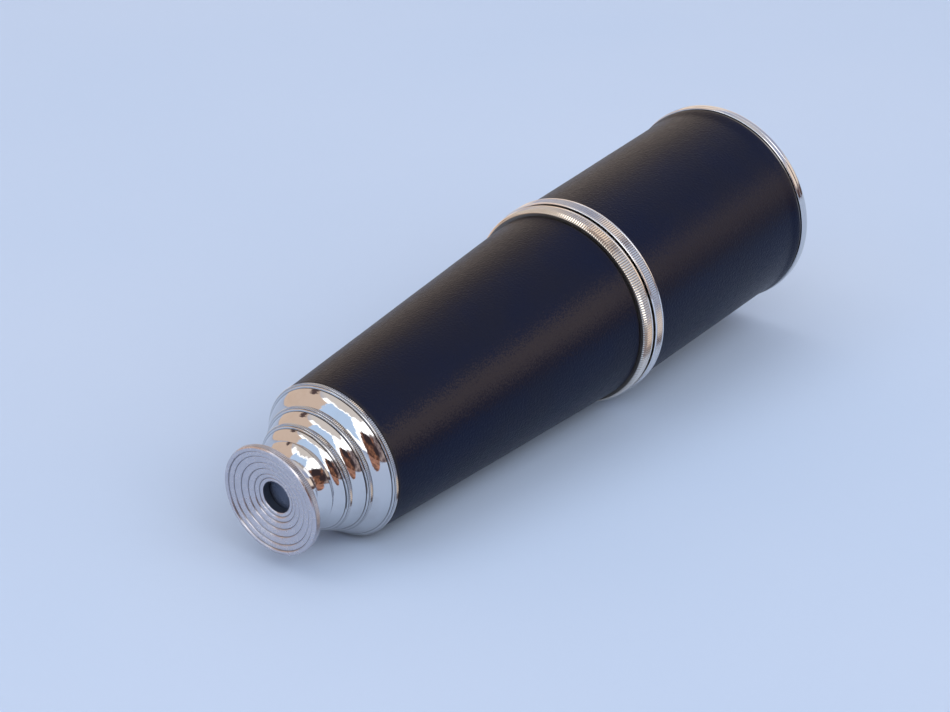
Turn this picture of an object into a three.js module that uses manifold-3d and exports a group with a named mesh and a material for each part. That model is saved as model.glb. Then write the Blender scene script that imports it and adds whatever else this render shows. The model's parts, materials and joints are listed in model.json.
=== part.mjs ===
// Three-draw hand telescope with a leather-covered barrel and a sliding sunshade,
// closed up and lying on its side. Millimetres, +Z up, objective towards +X.
//
// Almost every piece is turned, so a piece is written as its half section: a list of
// [station, radius] points. A station is the distance along the optical axis from the
// eyecup's front lip. The sections run from the eye end outwards, along the outside
// towards the objective, and back along the inside.

import * as THREE from "three";
import { mergeVertices } from "three/addons/utils/BufferGeometryUtils.js";
import Module from "manifold-3d";

// ---------------------------------------------------------------- driving dimensions

const sides = 32; // flats around the tubes and the fittings
const innerSides = 16; // flats around the small lens pieces
const gap = 0.3; // between pieces that touch, and around sliding tubes
const weldTolerance = 1e-3;

const tubeWall = 0.6; // draw tubes
const barrelWall = 0.9;
const leatherThickness = 1.0;

// Outer radii of the three draws, the eyepiece draw first.
const drawRadii = [11.0, 14.0, 17.0];

// The three domed end caps: on draw 2, on draw 3 and on the barrel.
const capRims = [16.0, 18.75, 23.0]; // radius over the knurled rim
const capNoses = [12.5, 14.9, 18.4]; // radius of the flat at the eye end
const capStarts = [11.5, 15.8, 21.0]; // station of that flat
const capDepths = [4.0, 4.9, 5.4]; // from the flat to the back of the rim
const capRimWidth = 1.35;
const capShoulder = 1.1; // step from the dome up to the rim
const domeTurn = THREE.MathUtils.degToRad(38); // how far a cap's slope turns from nose to shoulder
const capLip = 2.0; // thickness of the wall around the draw
const capSpigot = 6.0; // length inside the tube that the cap closes
const sleeveEnds = [34.0, 42.0, 52.0]; // inner ends of the spring sleeves
const sleeveWall = [0.7, 0.7, 1.2];
const fingers = { count: 4, lengthShare: 0.6, sawWidth: 0.8 }; // of the spring sleeves

const drawEnds = [184.0, 187.0, 190.0]; // objective ends of the draws, closed
const stopRingWidth = 3.6;
const barrelStopRadius = 20.0; // of the stop ring on draw 3, free in the tapered barrel

// The eyecup's disc: its face sinks by the dish from the lip to the eye hole.
const cup = { radius: 16.25, holeRadius: 4.6, dish: 2.9, lipWidth: 0.9, depth: 2.3 };
// Behind the disc a trumpet mouth closes in to a throat, and a cone opens from it to the first cap.
const neck = { mouth: 15.2, throat: 9.9, throatStation: 8.2, lip: 12.4, spigot: 6.5 };
const neckEnd = capStarts[0] - gap;

const barrelLeatherRadii = [22.9, 29.7]; // at the end cap and at the middle ring
const midRing = { start: 130.4, end: 134.5, radius: 31.55, web: 1.5 };
// The cylindrical front of the barrel, under the shade.
const nose = { start: 119.0, end: 202.7, radius: 26.2, wall: 0.8 };

const shadeRing = { start: 135.2, end: 139.3, radius: 31.95, web: 1.2 };
const shadeRadii = [29.6, 30.3]; // outside of the shade tube, back and front
const shadeWall = 0.8;
const shadeLeatherRadii = [30.9, 31.6];
const bezel = { start: 215.0, end: 219.0, radius: 32.6, aperture: 28.6, web: 2.0 };
const shadeGuideLength = 6.0;

const objective = { radius: 24.0, flintBack: 199.5, contact: 202.2, sag: 2.0, crownThickness: 5.6 };
const cell = { start: 196.0, flange: 203.0, end: 209.0, flangeRadius: 27.6, ledge: 1.2 };
const objectiveRetainerSpan = [206.6, 208.4];
const spannerNotches = 2;

const hubRadius = 9.5; // of the eyecup's hub, in the housing
const lensTube = { start: 5.5, end: 36.0, outer: 9.0, inner: 8.2 };
const lensRingWall = 0.8; // spacers and retaining rings around the small lenses

// The eyepiece's pieces in the lens tube, from the eye inwards.
const eyeLensRadius = 7.9;
const eyeLens = { near: 6.4, far: 9.6, farSag: -2.0 };
const eyeSpacerSpan = [8.4, 24.0];
const fieldStop = { span: [24.3, 25.0], wall: 2.4 };
const fieldSpacerSpan = [25.3, 29.0];
const fieldLens = { near: 29.3, far: 32.7, farSag: -2.0 };
const fieldRetainerSpan = [32.2, 34.0];

// The erecting pair in the far end of draw 1, with a stop between them.
const erector = { start: 158.0, end: 184.0, radius: 7.2, seatDepth: 6.0, ledge: 0.9 };
const erectorRearLens = { near: 159.6, far: 163.7, nearSag: 1.6 };
const erectorFrontLens = { near: 178.3, far: 182.4, farSag: -1.6 };
const erectorRearRetainerSpan = [158.2, 159.8];
const erectorFrontRetainerSpan = [182.2, 183.8];
const erectorStop = { span: [170.0, 171.0], wall: 3.4 };

const edgeBreak = 0.3; // small bevels on the turned edges
const curveSteps = 5; // along a dome or a trumpet mouth
const lensSteps = 4; // along a curved lens face
const sawOvershoot = 1; // past the piece that is slotted

// ---------------------------------------------------------------- materials

function material(color, roughness, metalness, extra = {}) {
  return new THREE.MeshStandardMaterial({ color, roughness, metalness, ...extra });
}

const finishes = {
  chrome: () => material(0xd5d8de, 0.1, 1.0),
  satinChrome: () => material(0xb9bcc6, 0.32, 1.0),
  brass: () => material(0xb08d4a, 0.35, 1.0),
  blackened: () => material(0x17171a, 0.6, 0.4),
  leather: () => material(0x1d1b20, 0.55, 0.0),
  glass: () => material(0xbfd3dd, 0.03, 0.0, { transparent: true, opacity: 0.35 }),
};

// ---------------------------------------------------------------- turned shapes

// A half turn of one flat puts a flat, and not an edge, at the bottom of every piece.
function revolve(points, count) {
  const outline = points.map(([station, radius]) => new THREE.Vector2(radius, station));
  return new THREE.LatheGeometry(outline, count, Math.PI / count, 2 * Math.PI);
}

// A ring or tube: the section closes on itself.
function ring(section, count = sides) {
  return revolve([...section, section[0]], count);
}

function tube(start, end, outer, wall, count = sides) {
  return taperedTube(start, end, [outer, outer], wall, count);
}

function taperedTube(start, end, [outerStart, outerEnd], wall, count = sides) {
  return ring(
    [
      [start, outerStart - wall],
      [start, outerStart],
      [end, outerEnd],
      [end, outerEnd - wall],
    ],
    count,
  );
}

// One face of a lens from the axis to its edge. The sag is how far the edge lies
// behind the middle, along the axis.
function lensFace(middle, sag, radius) {
  const steps = sag === 0 ? 1 : lensSteps;
  return Array.from({ length: steps + 1 }, (_, i) => {
    const share = i / steps;
    return [middle + sag * share * share, radius * share];
  });
}

// Near is the face on the eye's side and far the one on the objective's side.
function lens({ near, far, nearSag = 0, farSag = 0, radius, count = sides }) {
  const nearFace = lensFace(near, nearSag, radius);
  const farFace = lensFace(far, farSag, radius);
  return revolve([...nearFace, ...farFace.reverse()], count);
}

// A circular arc from the end of a nose round to a shoulder. Its slope falls by the dome's
// turn on the way, half before the slope of the chord and half after it.
function domeCurve([startStation, startRadius], [endStation, endRadius]) {
  const run = endStation - startStation;
  const rise = endRadius - startRadius;
  const arcRadius = Math.hypot(run, rise) / (2 * Math.sin(domeTurn / 2));
  const first = Math.atan2(rise, run) + domeTurn / 2;
  return Array.from({ length: curveSteps + 1 }, (_, i) => {
    const slope = first - (i / curveSteps) * domeTurn;
    return [
      startStation + arcRadius * (Math.sin(first) - Math.sin(slope)),
      startRadius + arcRadius * (Math.cos(slope) - Math.cos(first)),
    ];
  });
}

// A trumpet mouth that closes in to a throat.
function trumpetCurve([startStation, mouth], [endStation, throat]) {
  return Array.from({ length: curveSteps + 1 }, (_, i) => {
    const share = i / curveSteps;
    const opening = (1 - share) ** 3;
    return [startStation + (endStation - startStation) * share, throat + (mouth - throat) * opening];
  });
}

// ---------------------------------------------------------------- cuts

const wasm = await Module();
wasm.setup();

function toSolid(geometry) {
  const bare = geometry.clone().deleteAttribute("normal").deleteAttribute("uv");
  const merged = mergeVertices(bare, weldTolerance);
  return new wasm.Manifold(
    new wasm.Mesh({
      numProp: 3,
      vertProperties: merged.attributes.position.array,
      triVerts: new Uint32Array(merged.index.array),
    }),
  );
}

function fromSolid(solid) {
  const mesh = solid.getMesh();
  const geometry = new THREE.BufferGeometry();
  geometry.setAttribute("position", new THREE.BufferAttribute(mesh.vertProperties, 3));
  geometry.setIndex(new THREE.BufferAttribute(mesh.triVerts, 1));
  geometry.computeVertexNormals();
  return geometry;
}

// Saws radial slots of one width into a turned piece, between two stations.
function slotted(geometry, { from, to, width, reach, count }) {
  let solid = toSolid(geometry);
  for (let i = 0; i < count; i += 1) {
    const blade = new THREE.BoxGeometry(reach, to - from, width);
    blade.translate(reach / 2, (from + to) / 2, 0);
    blade.rotateY((i / count) * 2 * Math.PI);
    solid = solid.subtract(toSolid(blade));
  }
  return fromSolid(solid);
}

// ---------------------------------------------------------------- tapered barrel

const barrelCap = 2; // index of the barrel's own cap in the cap lists
const barrelStart = capStarts[barrelCap] + capDepths[barrelCap] + gap;
const barrelEnd = midRing.end - midRing.web - gap;
const barrelRadii = barrelLeatherRadii.map((radius) => radius - leatherThickness - gap);

function barrelRadiusAt(station) {
  const share = (station - barrelStart) / (midRing.start - barrelStart);
  return barrelRadii[0] + (barrelRadii[1] - barrelRadii[0]) * share;
}

function barrelTube() {
  return taperedTube(
    barrelStart,
    barrelEnd,
    [barrelRadiusAt(barrelStart), barrelRadiusAt(barrelEnd)],
    barrelWall,
  );
}

function barrelLeather() {
  return taperedTube(barrelStart, midRing.start - gap, barrelLeatherRadii, leatherThickness);
}

// The rear ring of the middle pair caps the barrel's wide end and carries the nose tube.
function barrelMidRing() {
  const { start, end, radius, web } = midRing;
  const seat = barrelRadiusAt(barrelEnd) + gap;
  const bore = nose.radius + gap;
  const bead = 3 * edgeBreak;
  return ring([
    [start, seat],
    [start, radius - bead],
    [start + bead, radius - edgeBreak],
    [end - bead, radius - edgeBreak],
    [end - edgeBreak, radius],
    [end, radius - edgeBreak],
    [end, bore],
    [end - web, bore],
    [end - web, seat],
  ]);
}

function noseTube() {
  return tube(nose.start, nose.end, nose.radius, nose.wall);
}

// ---------------------------------------------------------------- end caps and sleeves

const tubeInside = [
  drawRadii[1] - tubeWall,
  drawRadii[2] - tubeWall,
  barrelRadiusAt(barrelStart) - barrelWall,
];

function capSeat(index) {
  return drawRadii[index] + gap + sleeveWall[index] + gap;
}

function endCap(index) {
  const start = capStarts[index];
  const end = start + capDepths[index];
  const rim = capRims[index];
  const bore = drawRadii[index] + gap;
  const spigot = tubeInside[index] - gap;
  const seat = capSeat(index);
  const rimStart = end - capRimWidth;
  return ring([
    [start, bore],
    ...domeCurve([start, capNoses[index]], [rimStart, rim - capShoulder]),
    [rimStart, rim],
    [end, rim],
    [end, spigot],
    [end + capSpigot, spigot],
    [end + capSpigot, seat],
    [start + capLip, seat],
    [start + capLip, bore],
  ]);
}

// A spring sleeve grips the draw. Saw cuts from its inner end leave it springy fingers.
function guideSleeve(index) {
  const start = capStarts[index] + capLip + gap;
  const end = sleeveEnds[index];
  const outer = drawRadii[index] + gap + sleeveWall[index];
  return slotted(tube(start, end, outer, sleeveWall[index]), {
    from: end - (end - start) * fingers.lengthShare,
    to: end + sawOvershoot,
    width: fingers.sawWidth,
    reach: outer + sawOvershoot,
    count: fingers.count,
  });
}

// ---------------------------------------------------------------- draws

function drawStart(index) {
  return index === 0 ? neckEnd + gap : capStarts[index - 1] + capDepths[index - 1] + gap;
}

function drawTube(index) {
  return tube(drawStart(index), drawEnds[index], drawRadii[index], tubeWall);
}

function stopRing(index) {
  const inner = drawRadii[index] + gap;
  const outer = index === barrelCap ? barrelStopRadius : tubeInside[index] - gap;
  return tube(drawEnds[index] - stopRingWidth, drawEnds[index], outer, outer - inner);
}

// ---------------------------------------------------------------- objective

function objectiveCell() {
  const spigot = nose.radius - nose.wall - gap;
  const seat = objective.radius + gap;
  const ledgeEnd = objective.flintBack - gap;
  const ledgeRadius = objective.radius - cell.ledge;
  return ring([
    [cell.start, ledgeRadius],
    [cell.start, spigot],
    [cell.flange, spigot],
    [cell.flange, cell.flangeRadius],
    [cell.end - edgeBreak, cell.flangeRadius],
    [cell.end, cell.flangeRadius - edgeBreak],
    [cell.end, seat],
    [ledgeEnd, seat],
    [ledgeEnd, ledgeRadius],
  ]);
}

function flintLens() {
  return lens({
    near: objective.flintBack,
    far: objective.contact,
    farSag: objective.sag,
    radius: objective.radius,
  });
}

function crownLens() {
  const near = objective.contact + gap;
  return lens({
    near,
    nearSag: objective.sag,
    far: near + objective.crownThickness,
    farSag: -objective.sag,
    radius: objective.radius,
  });
}

// Two notches across the ring take a spanner.
function objectiveRetainer() {
  const [start, end] = objectiveRetainerSpan;
  return slotted(tube(start, end, objective.radius, cell.ledge), {
    from: (start + end) / 2,
    to: end + sawOvershoot,
    width: 2 * cell.ledge,
    reach: objective.radius + sawOvershoot,
    count: spannerNotches,
  });
}

// ---------------------------------------------------------------- sunshade

const shadeStart = shadeRing.start + shadeRing.web + gap;
const shadeEnd = bezel.end - bezel.web - gap;

function shadeTube() {
  return taperedTube(shadeStart, shadeEnd, shadeRadii, shadeWall);
}

function shadeLeather() {
  return taperedTube(shadeRing.end + gap, bezel.start - gap, shadeLeatherRadii, leatherThickness);
}

function shadeRearRing() {
  const { start, end, radius, web } = shadeRing;
  const seat = shadeRadii[0] + gap;
  const bore = nose.radius + gap;
  return ring([
    [start, bore],
    [start, radius],
    [end - edgeBreak, radius],
    [end, radius - edgeBreak],
    [end, seat],
    [start + web, seat],
    [start + web, bore],
  ]);
}

function shadeBezel() {
  const { start, end, radius, aperture, web } = bezel;
  const seat = shadeRadii[1] + gap;
  const bead = 3 * edgeBreak;
  return ring([
    [start, seat],
    [start, radius - bead],
    [start + bead, radius],
    [end - bead, radius],
    [end, radius - bead],
    [end, aperture],
    [end - web, aperture],
    [end - web, seat],
  ]);
}

// A collar inside the shade's back end rides on the nose tube.
function shadeGuide() {
  const outer = shadeRadii[0] - shadeWall - gap;
  const inner = nose.radius + gap;
  return tube(shadeStart, shadeStart + shadeGuideLength, outer, outer - inner);
}

// ---------------------------------------------------------------- eyepiece

function eyecup() {
  const { radius, holeRadius, dish, lipWidth, depth } = cup;
  const lip = radius - 2 * edgeBreak;
  const hubEnd = lensTube.start - gap;
  return ring([
    [dish, holeRadius],
    [2 * edgeBreak, lip - lipWidth],
    [0, lip - lipWidth],
    [0, lip],
    [2 * edgeBreak, radius],
    [depth - edgeBreak, radius],
    [depth, radius - edgeBreak],
    [depth, hubRadius],
    [hubEnd, hubRadius],
    [hubEnd, holeRadius],
  ]);
}

function eyepieceHousing() {
  const start = cup.depth + gap;
  const bore = lensTube.outer + gap;
  const spigot = drawRadii[0] - tubeWall - gap;
  return ring([
    [start, hubRadius + gap],
    ...trumpetCurve([start, neck.mouth], [neck.throatStation, neck.throat]),
    [neckEnd, neck.lip],
    [neckEnd, spigot],
    [neckEnd + neck.spigot, spigot],
    [neckEnd + neck.spigot, bore],
    [lensTube.start, bore],
    [lensTube.start, hubRadius + gap],
  ]);
}

function eyepieceTube() {
  const { start, end, outer, inner } = lensTube;
  const mouth = cup.holeRadius + 1;
  const ledgeEnd = start + 2 * edgeBreak;
  return ring(
    [
      [start, mouth],
      [start, outer],
      [end, outer],
      [end, inner],
      [ledgeEnd, inner],
      [ledgeEnd, mouth],
    ],
    innerSides,
  );
}

function smallLens(faces, radius) {
  return lens({ ...faces, radius, count: innerSides });
}

function smallRing([start, end], outer, wall = lensRingWall) {
  return tube(start, end, outer, wall, innerSides);
}

// ---------------------------------------------------------------- erecting lenses

function erectorCell() {
  const { start, end, radius, seatDepth } = erector;
  const outer = drawRadii[0] - tubeWall - gap;
  const seat = radius + gap;
  const ledge = radius - erector.ledge;
  return ring(
    [
      [start, seat],
      [start, outer],
      [end, outer],
      [end, seat],
      [end - seatDepth, seat],
      [end - seatDepth, ledge],
      [start + seatDepth, ledge],
      [start + seatDepth, seat],
    ],
    innerSides,
  );
}

function erectorStopRing() {
  const outer = erector.radius - erector.ledge - gap;
  return smallRing(erectorStop.span, outer, erectorStop.wall);
}

// ---------------------------------------------------------------- assembly

const pieces = [];

function add(name, finish, geometry) {
  const mesh = new THREE.Mesh(geometry, finishes[finish]());
  mesh.name = name;
  pieces.push(mesh);
}

add("barrel_tube", "brass", barrelTube());
add("barrel_leather", "leather", barrelLeather());
add("barrel_end_cap", "chrome", endCap(barrelCap));
add("barrel_guide_sleeve", "brass", guideSleeve(barrelCap));
add("barrel_mid_ring", "chrome", barrelMidRing());
add("nose_tube", "chrome", noseTube());
add("objective_cell", "blackened", objectiveCell());
add("objective_flint_lens", "glass", flintLens());
add("objective_crown_lens", "glass", crownLens());
add("objective_retainer", "blackened", objectiveRetainer());

add("shade_tube", "brass", shadeTube());
add("shade_leather", "leather", shadeLeather());
add("shade_rear_ring", "chrome", shadeRearRing());
add("shade_front_bezel", "chrome", shadeBezel());
add("shade_guide_collar", "brass", shadeGuide());

for (const index of [2, 1]) {
  const draw = `draw${index + 1}`;
  add(`${draw}_tube`, "chrome", drawTube(index));
  add(`${draw}_end_cap`, "chrome", endCap(index - 1));
  add(`${draw}_guide_sleeve`, "brass", guideSleeve(index - 1));
  add(`${draw}_stop_ring`, "brass", stopRing(index));
}

add("draw1_tube", "chrome", drawTube(0));
add("draw1_stop_ring", "brass", stopRing(0));
add("eyepiece_housing", "chrome", eyepieceHousing());
add("eyecup", "satinChrome", eyecup());
add("eyepiece_lens_tube", "blackened", eyepieceTube());
add("eye_lens", "glass", smallLens(eyeLens, eyeLensRadius));
add("eye_lens_spacer", "blackened", smallRing(eyeSpacerSpan, eyeLensRadius));
add("field_stop", "blackened", smallRing(fieldStop.span, eyeLensRadius, fieldStop.wall));
add("field_lens_spacer", "blackened", smallRing(fieldSpacerSpan, eyeLensRadius));
add("field_lens", "glass", smallLens(fieldLens, eyeLensRadius));
add("field_lens_retainer", "blackened", smallRing(fieldRetainerSpan, eyeLensRadius));

add("erector_cell", "blackened", erectorCell());
add("erector_rear_retainer", "blackened", smallRing(erectorRearRetainerSpan, erector.radius));
add("erector_rear_lens", "glass", smallLens(erectorRearLens, erector.radius));
add("erector_front_lens", "glass", smallLens(erectorFrontLens, erector.radius));
add("erector_front_retainer", "blackened", smallRing(erectorFrontRetainerSpan, erector.radius));
add("erector_stop", "blackened", erectorStopRing());

// The closed telescope lies on the rim of the barrel's end cap and on the back edge of
// the shade's rear ring, so its objective end points a little up.
const flatShare = Math.cos(Math.PI / sides);
const contactRise = (shadeRing.radius - capRims[barrelCap]) * flatShare;
const contactRun = shadeRing.start - (barrelStart - gap - capRimWidth);
const tilt = Math.atan2(contactRise, contactRun);

// The sections turn about +Y, which is laid along +X and then tipped up by the tilt.
const upright = new THREE.Group();
upright.add(...pieces);
upright.rotation.z = -Math.PI / 2;

const lying = new THREE.Group();
lying.add(upright);
lying.rotation.y = -tilt;

const telescope = new THREE.Group();
telescope.add(lying);

// The origin is at the middle of the telescope's box, on the surface that it lies on.
const box = new THREE.Box3().setFromObject(telescope, true);
const middle = box.getCenter(new THREE.Vector3());
lying.position.set(-middle.x, -middle.y, -box.min.z);

export default telescope;
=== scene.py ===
"""The looks of a three-draw hand telescope: turned and knurled plated fittings, black leather and glass.

Every turned piece is written as its half section: corners of (station, radius) in millimetres. A station
is the distance along the optical axis from the eyecup's front lip. The driving stations and radii come from
the CAD nodes.
"""

import json
import math

import bmesh
import bpy
import numpy as np
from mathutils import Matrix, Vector


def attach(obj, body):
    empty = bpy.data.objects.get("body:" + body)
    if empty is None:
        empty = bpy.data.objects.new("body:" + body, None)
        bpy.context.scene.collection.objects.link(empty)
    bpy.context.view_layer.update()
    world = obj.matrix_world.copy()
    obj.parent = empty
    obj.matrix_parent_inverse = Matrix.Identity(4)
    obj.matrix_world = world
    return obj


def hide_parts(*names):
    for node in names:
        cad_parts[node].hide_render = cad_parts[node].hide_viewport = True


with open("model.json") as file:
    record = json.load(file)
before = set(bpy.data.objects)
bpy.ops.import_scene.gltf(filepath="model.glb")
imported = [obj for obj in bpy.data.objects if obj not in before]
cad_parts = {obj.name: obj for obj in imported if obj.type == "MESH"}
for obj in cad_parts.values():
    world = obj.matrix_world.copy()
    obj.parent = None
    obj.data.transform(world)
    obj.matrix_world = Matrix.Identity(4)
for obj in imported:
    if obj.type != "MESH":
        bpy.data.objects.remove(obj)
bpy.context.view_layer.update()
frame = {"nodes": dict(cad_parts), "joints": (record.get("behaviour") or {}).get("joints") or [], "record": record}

MM = 0.001


def link(thing):
    bpy.context.scene.collection.objects.link(thing)


# ---------------------------------------------------------------- camera

CAMERA_AIM = Vector((-0.0195, 0.0009, 0.0300))
CAMERA_AZIMUTH = math.radians(-142.05)  # of the camera seen from the aim
CAMERA_ELEVATION = math.radians(25.2)
CAMERA_DISTANCE = 0.770
CAMERA_LENS = 100.96  # millimetres, on a sensor of this width
CAMERA_SENSOR = 36.0


def place_camera():
    flat = math.cos(CAMERA_ELEVATION)
    beside = flat * math.cos(CAMERA_AZIMUTH), flat * math.sin(CAMERA_AZIMUTH)
    away = Vector((*beside, math.sin(CAMERA_ELEVATION)))
    camera = bpy.data.objects.new("camera", bpy.data.cameras.new("camera"))
    camera.data.lens = CAMERA_LENS
    camera.data.sensor_width = CAMERA_SENSOR
    camera.location = CAMERA_AIM + away * CAMERA_DISTANCE
    camera.rotation_euler = (-away).to_track_quat("-Z", "Y").to_euler()
    link(camera)
    bpy.context.scene.camera = camera


place_camera()

# ---------------------------------------------------------------- the optical axis, from the CAD


def node_points(node):
    mesh = frame["nodes"][node].data
    points = np.empty(3 * len(mesh.vertices))
    mesh.vertices.foreach_get("co", points)
    return points.reshape(-1, 3)


def slide_direction(name):
    joint = next(j for j in frame["joints"] if j["name"] == name)
    return np.array(joint["axis"], float)


AXIS = slide_direction("shade_slide")
ACROSS = np.array((0.0, 1.0, 0.0))
UP = np.cross(AXIS, ACROSS)
cup_points = node_points("eyecup")
cup_centre = cup_points.mean(axis=0)
ORIGIN = cup_centre + AXIS * ((cup_points - cup_centre) @ AXIS).min()


class Section:
    """The stations and radii of a turned CAD node, in millimetres."""

    NEAR = 0.03

    def __init__(self, node):
        offsets = node_points(node) - ORIGIN
        self.station = offsets @ AXIS / MM
        self.radius = np.linalg.norm(offsets / MM - np.outer(self.station, AXIS), axis=1)
        self.start, self.end = self.station.min(), self.station.max()
        self.inner, self.outer = self.radius.min(), self.radius.max()

    def radii_at(self, station):
        """The smallest and the largest radius at a station."""
        radii = self.radius[np.abs(self.station - station) < self.NEAR]
        return radii.min(), radii.max()

    def stations_of(self, radius):
        """The first and the last station at a radius."""
        stations = self.station[np.abs(self.radius - radius) < self.NEAR]
        return stations.min(), stations.max()


# ---------------------------------------------------------------- half sections

ARC_STEP = math.radians(18)  # of a fillet
LONGEST_REACH = 0.48  # of a fillet, as a share of the line beside it
DOME_TURN = math.radians(38)
CURVE_STEPS = 24  # of a dome and of the trumpet mouth
TOOTH_BEVEL = 0.1


def point(station, radius, fillet=0.0, knurl=0.0, grime_and_shade=0.0):
    """A corner of a half section. The knurl is the depth of the teeth there. The last value darkens the colour for
    grime and painted shade, 1 in a groove.
    """
    return station, radius, fillet, knurl, grime_and_shade


def rounded(corners):
    """The closed outline, with an arc in place of each corner that has a fillet."""
    rows = []
    for i, (station, radius, fillet, knurl, grime_and_shade) in enumerate(corners):
        corner = Vector((station, radius))
        before = Vector(corners[i - 1][:2]) - corner
        after = Vector(corners[(i + 1) % len(corners)][:2]) - corner
        turn = math.pi - before.angle(after)
        if not fillet or turn < ARC_STEP / 2:
            rows.append((station, radius, knurl, grime_and_shade))
            continue
        room = LONGEST_REACH * min(before.length, after.length)
        reach = min(fillet * math.tan(turn / 2), room)
        size = reach / math.tan(turn / 2)
        inward = (before.normalized() + after.normalized()).normalized()
        middle = corner + inward * size / math.cos(turn / 2)
        first = corner + before.normalized() * reach - middle
        last = corner + after.normalized() * reach - middle
        steps = max(2, math.ceil(turn / ARC_STEP))
        for k in range(steps + 1):
            share = k / steps
            spoke = first * math.sin((1 - share) * turn) + last * math.sin(share * turn)
            rows.append((*(middle + spoke / math.sin(turn)), knurl, grime_and_shade))
    return np.array(rows)


def dome(start, nose, end, shoulder, turn=DOME_TURN):
    """A circular arc from a nose's edge round to a shoulder. Its slope falls by the turn on the way."""
    run, rise = end - start, shoulder - nose
    arc_radius = math.hypot(run, rise) / (2 * math.sin(turn / 2))
    first = math.atan2(rise, run) + turn / 2
    corners = []
    for k in range(CURVE_STEPS + 1):
        slope = first - k / CURVE_STEPS * turn
        station = start + arc_radius * (math.sin(first) - math.sin(slope))
        corners.append(point(station, nose + arc_radius * (math.cos(slope) - math.cos(first))))
    return corners


def bead(start, end, root, crown, grime_and_shade=0.0):
    """A half-round bead between two stations that stands up from its root."""
    fillet = (end - start) / 2
    return [
        point(start, root, grime_and_shade=grime_and_shade),
        point(start, crown, fillet),
        point(end, crown, fillet),
        point(end, root, grime_and_shade=grime_and_shade),
    ]


def knurled_band(start, end, radius, depth):
    """A band of fine straight teeth with a narrow bevel at each side."""
    return [
        point(start, radius - depth - TOOTH_BEVEL, grime_and_shade=0.4),
        point(start + TOOTH_BEVEL, radius, knurl=depth),
        point(end - TOOTH_BEVEL, radius, knurl=depth),
        point(end, radius - depth - TOOTH_BEVEL, grime_and_shade=0.4),
    ]


# ---------------------------------------------------------------- turned meshes

TOOTH_GRIME_AND_SHADE = 0.85  # grime and painted shade between two teeth of a knurl
BORE_SLOPE = 0.3  # a face that runs back towards the eye no steeper than this takes the inside finish
COLUMNS = 256  # round a piece without teeth
SAME_PLACE = 1e-6
SHARP_EDGE = 35  # degrees


def even_angles(count):
    return np.linspace(0, 2 * math.pi, count, endpoint=False)


def in_row_frame(local):
    """Points given as millimetres across, up and along the axis, as metres in the row frame."""
    return ORIGIN + (local * MM) @ np.array((ACROSS, UP, AXIS))


def mark(mesh, name, kind, key, values):
    """Stores a value for each point, which the materials read."""
    attribute = mesh.attributes.new(name, kind, "POINT")
    attribute.data.foreach_set(key, values.astype(np.float32).ravel())


def turned_mesh(name, outline, angles, sway=None):
    station, radius, knurl, grime_and_shade = outline.T
    rows, columns = len(outline), len(angles)
    stations = np.repeat(station[:, None], columns, axis=1)
    radii = np.repeat(radius[:, None], columns, axis=1)
    radii[:, 1::2] -= knurl[:, None]
    turns = np.repeat(angles[None, :], rows, axis=0)
    if sway:
        stations, radii = sway(stations, radii, turns)
    local = np.stack([radii * np.cos(turns), radii * np.sin(turns), stations], axis=-1).reshape(-1, 3)

    corner = np.arange(rows * columns).reshape(rows, columns)
    beside = np.roll(corner, -1, axis=1)
    quads = np.stack([corner, beside, np.roll(beside, -1, axis=0), np.roll(corner, -1, axis=0)], axis=-1)

    mesh = bpy.data.meshes.new(name)
    mesh.from_pydata(in_row_frame(local), [], quads.reshape(-1, 4).tolist())
    mark(mesh, "turning", "FLOAT_VECTOR", "vector", local)
    # the pushed-in columns of a knurl are darkened: grime and painted shade between the teeth
    valleys = np.repeat(grime_and_shade[:, None], columns, axis=1)
    valleys[:, 1::2] += (knurl[:, None] > 0) * TOOTH_GRIME_AND_SHADE
    mark(mesh, "grime_and_shade", "FLOAT", "value", valleys)
    run = np.roll(station, -1) - station
    rise = np.roll(radius, -1) - radius
    in_bore = np.abs(rise) < -BORE_SLOPE * run
    mesh.polygons.foreach_set("material_index", np.repeat(in_bore, columns).astype(np.int32))
    return mesh


def weld(mesh):
    """Closes the rings that lie on the axis to a point."""
    shell = bmesh.new()
    shell.from_mesh(mesh)
    bmesh.ops.remove_doubles(shell, verts=shell.verts, dist=SAME_PLACE)
    shell.to_mesh(mesh)
    shell.free()


def place(name, mesh, body, nodes, finish, inside=None, edge=SHARP_EDGE):
    mesh.materials.append(finish)
    mesh.materials.append(inside or finish)
    mesh.polygons.foreach_set("use_smooth", [True] * len(mesh.polygons))
    mesh.set_sharp_from_angle(angle=math.radians(edge))
    piece = bpy.data.objects.new(name, mesh)
    link(piece)
    weighted = piece.modifiers.new("even shading", "WEIGHTED_NORMAL")
    weighted.keep_sharp = True
    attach(piece, body)
    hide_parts(*nodes)
    return piece


def turned(node, body, corners, finish, inside=None, angles=None, teeth=0, sway=None):
    """A turned piece in place of a CAD node."""
    if angles is None:
        angles = even_angles(2 * teeth or COLUMNS)
    name = node + "_detail"
    mesh = turned_mesh(name, rounded(corners), angles, sway)
    if min(corner[1] for corner in corners) < SAME_PLACE:
        weld(mesh)
    return place(name, mesh, body, [node], finish, inside)


# ---------------------------------------------------------------- node trees


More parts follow.
